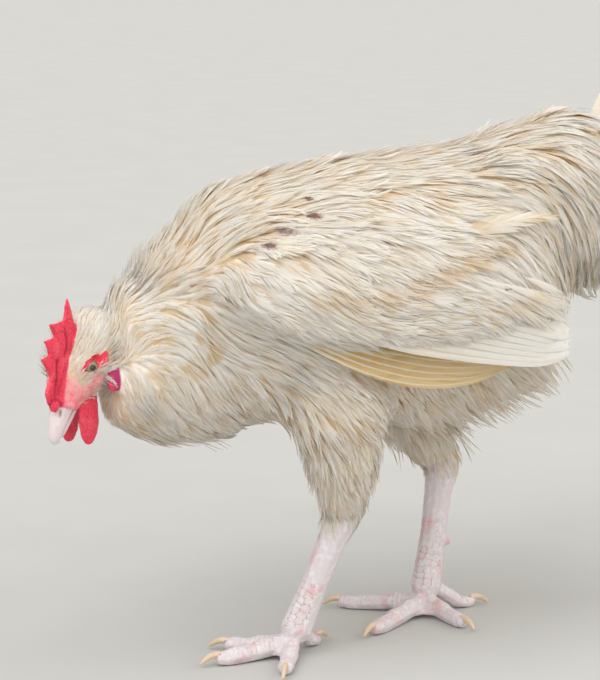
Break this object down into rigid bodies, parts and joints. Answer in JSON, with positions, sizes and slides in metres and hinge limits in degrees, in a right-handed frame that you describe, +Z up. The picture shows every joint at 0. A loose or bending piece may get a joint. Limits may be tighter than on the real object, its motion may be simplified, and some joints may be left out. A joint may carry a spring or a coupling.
{
  "type": "chicken",
  "caption": "Life-size still model of a white young cockerel walking slowly with its head held low, standing on its own two feet",
  "frame": {"origin": "on the floor, at the middle of the base of the bounding box", "axes": "the bird walks towards -Y, its left side is +X and +Z is up"},
  "size_m": [0.199, 0.5738, 0.4509],
  "materials": {
    "plumage": "soft cream-white body feathers, matt and silky",
    "flight_feather": "stiff off-white vanes, satin",
    "face_skin": "bare red-pink facial skin, fine-grained",
    "comb": "fleshy red skin, slightly moist",
    "bill": "pinkish horn, satin",
    "eye": "wet and glossy, olive-brown iris",
    "leg_skin": "pinkish-white scaled skin, satin",
    "claw": "yellowish horn"
  },
  "bodies": {
    "root": {"trunk": "plumage", "saddle": "plumage", "neck": "plumage", "thigh_left": "plumage", "thigh_right": "plumage", "wing_left": "plumage", "wing_right": "plumage", "flight_feathers_left": "flight_feather", "flight_feathers_right": "flight_feather", "tail_feathers_left": "flight_feather", "tail_feathers_right": "flight_feather", "sickle_left": "flight_feather", "sickle_right": "flight_feather", "head": "face_skin", "comb": "comb", "wattle_left": "comb", "wattle_right": "comb", "earlobe_left": "comb", "earlobe_right": "comb", "bill_upper": "bill", "bill_lower": "bill", "eye_left": "eye", "eye_right": "eye", "shank_left": "leg_skin", "shank_right": "leg_skin", "toe_inner_left": "leg_skin", "toe_middle_left": "leg_skin", "toe_outer_left": "leg_skin", "toe_hind_left": "leg_skin", "toe_inner_right": "leg_skin", "toe_middle_right": "leg_skin", "toe_outer_right": "leg_skin", "toe_hind_right": "leg_skin", "claw_inner_left": "claw", "claw_middle_left": "claw", "claw_outer_left": "claw", "claw_hind_left": "claw", "claw_inner_right": "claw", "claw_middle_right": "claw", "claw_outer_right": "claw", "claw_hind_right": "claw"}
  },
  "joints": []
}
